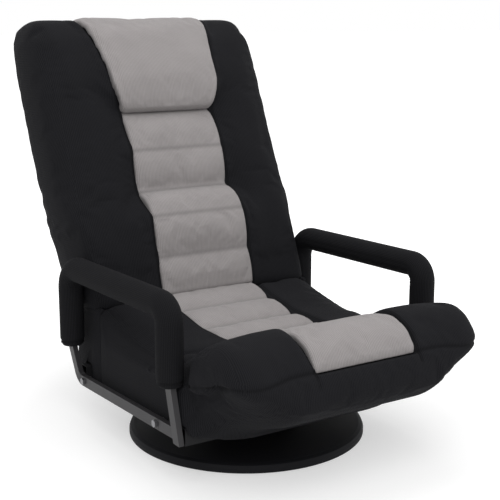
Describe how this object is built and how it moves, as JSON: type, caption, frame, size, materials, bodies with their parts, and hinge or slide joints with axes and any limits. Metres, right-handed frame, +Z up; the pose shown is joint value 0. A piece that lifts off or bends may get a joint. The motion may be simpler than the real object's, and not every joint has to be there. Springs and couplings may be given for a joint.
{
  "type": "floor chair",
  "caption": "Low floor chair on a round swivel base, with padded loop armrests, a channelled seat with a raised front roll, and a ratchet back that reclines flat.",
  "frame": {"origin": "on the swivel axis at the underside of the round base, where it meets the floor", "axes": "+Z up; the seated person faces -Y, and the back leans toward +Y; +X is the seated person's left"},
  "size_m": [0.584, 0.9189, 0.7712],
  "materials": {
    "black_fabric": "matt black spacer mesh with fine upright ribs",
    "grey_fabric": "matt mid-grey spacer mesh",
    "webbing": "woven elastic webbing",
    "frame_paint": "satin dark grey powder coat",
    "base_paint": "satin black powder coat",
    "zinc_steel": "bright zinc plate",
    "ball_steel": "polished bearing steel",
    "nylon": "natural nylon",
    "grip_foam": "matt closed-cell foam"
  },
  "bodies": {
    "base": {"floor_pad": "grip_foam", "base_plate": "base_paint", "base_dish": "base_paint", "pedestal": "base_paint", "pedestal_screws": "zinc_steel", "lower_race": "zinc_steel", "king_bolt": "zinc_steel", "king_washer": "zinc_steel", "king_nut": "zinc_steel"},
    "cage": {"ball_cage": "nylon", "bearing_balls": "ball_steel"},
    "seat": {"seat_cushion": "black_fabric", "front_roll": "black_fabric", "arm_sleeve_left": "black_fabric", "arm_sleeve_right": "black_fabric", "hinge_cover_left": "black_fabric", "hinge_cover_right": "black_fabric", "seat_pad": "grey_fabric", "roll_pad": "grey_fabric", "seat_straps": "webbing", "arm_tube_left": "frame_paint", "arm_tube_right": "frame_paint", "side_rail_left": "frame_paint", "side_rail_right": "frame_paint", "rail_stub_left": "frame_paint", "rail_stub_right": "frame_paint", "front_cross_tube": "frame_paint", "rear_cross_tube": "frame_paint", "long_tube_left": "frame_paint", "long_tube_right": "frame_paint", "seat_frame": "frame_paint", "seat_leaf_left": "frame_paint", "seat_leaf_right": "frame_paint", "rail_joiners_left": "frame_paint", "rail_joiners_right": "frame_paint", "upper_race": "zinc_steel", "swivel_bolts": "zinc_steel", "swivel_nuts": "zinc_steel", "rail_bolts_left": "zinc_steel", "rail_bolts_right": "zinc_steel", "hinge_pin_left": "zinc_steel", "hinge_pin_right": "zinc_steel"},
    "back": {"back_leaf_left": "frame_paint", "back_leaf_right": "frame_paint", "pawl_pin_left": "zinc_steel", "pawl_pin_right": "zinc_steel", "back_frame": "frame_paint", "back_bars": "frame_paint", "back_straps": "webbing", "back_cushion": "black_fabric", "back_pad": "grey_fabric", "headrest_pad": "grey_fabric", "back_neck": "black_fabric"},
    "left_pawl": {"pawl_left": "zinc_steel"},
    "right_pawl": {"pawl_right": "zinc_steel"}
  },
  "joints": [
    {"name": "swivel", "type": "hinge", "parent": "base", "child": "seat", "pos_m": [0, 0, 0.08], "axis": [0, 0, 1], "continuous": true},
    {"name": "cage_spin", "type": "hinge", "parent": "base", "child": "cage", "pos_m": [0, 0, 0.08], "axis": [0, 0, 1], "continuous": true},
    {"name": "recline", "type": "hinge", "parent": "seat", "child": "back", "pos_m": [0, 0.182, 0.16], "axis": [-1, 0, 0], "range_deg": [-22.5, 67.5]},
    {"name": "left_pawl_lift", "type": "hinge", "parent": "back", "child": "left_pawl", "pos_m": [0, 0.21836, 0.17774], "axis": [-1, 0, 0], "range_deg": [0, 10], "stiffness_Nm_per_rad": 0.05, "springref_deg": -17.19},
    {"name": "right_pawl_lift", "type": "hinge", "parent": "back", "child": "right_pawl", "pos_m": [0, 0.21836, 0.17774], "axis": [-1, 0, 0], "range_deg": [0, 10], "stiffness_Nm_per_rad": 0.05, "springref_deg": -17.19}
  ],
  "couplings": [
    {"joint": "cage_spin", "follows": "swivel", "ratio": 0.5}
  ]
}
